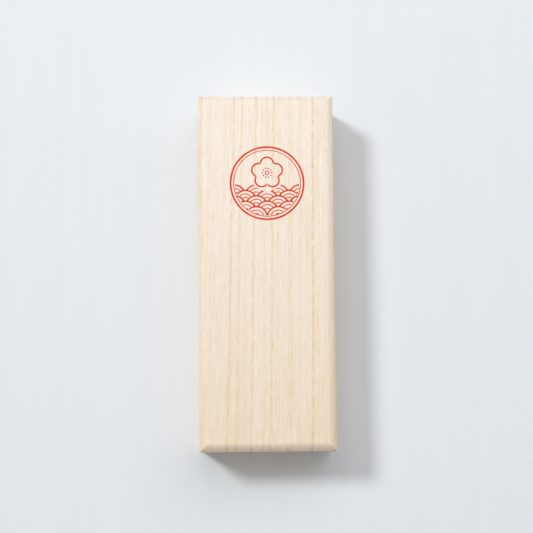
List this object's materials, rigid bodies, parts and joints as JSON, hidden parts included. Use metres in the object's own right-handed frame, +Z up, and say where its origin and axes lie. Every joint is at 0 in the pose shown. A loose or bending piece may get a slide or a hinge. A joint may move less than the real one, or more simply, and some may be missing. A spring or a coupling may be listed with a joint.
{
  "type": "boxed ink stick",
  "caption": "Pale paulownia presentation box with a lift-off bevelled lid, pegged finger joints and a routed bed that holds a black ink stick with an arched head.",
  "frame": {"origin": "middle of the underside of the base board, on the surface that the box stands on", "axes": "+X across the box, +Y along its length towards the head end (the top of the picture), +Z up through the lid"},
  "size_m": [0.057, 0.15, 0.03],
  "materials": {
    "paulownia": "planed bare, matt",
    "peg_wood": "cut flush, matt",
    "pressed_ink": "moulded and rubbed to a satin black",
    "vermilion_print": "stamped ink, matt",
    "gilt": "brushed on, worn"
  },
  "bodies": {
    "box": {"base_board": "paulownia", "left_wall": "paulownia", "right_wall": "paulownia", "head_wall": "paulownia", "foot_wall": "paulownia", "corner_pegs": "peg_wood", "base_pegs": "peg_wood", "stick_bed": "paulownia"},
    "ink_stick": {"ink_stick": "pressed_ink"},
    "lid": {"lid_board": "paulownia", "lid_batten_head": "paulownia", "lid_batten_foot": "paulownia", "batten_pegs": "peg_wood"}
  },
  "joints": [
    {"name": "stick_lift", "type": "slide", "parent": "box", "child": "ink_stick", "axis": [0, 0, 1], "range_m": [0, 0.06]},
    {"name": "lid_lift", "type": "slide", "parent": "ink_stick", "child": "lid", "axis": [0, 0, 1], "range_m": [0, 0.06]}
  ]
}
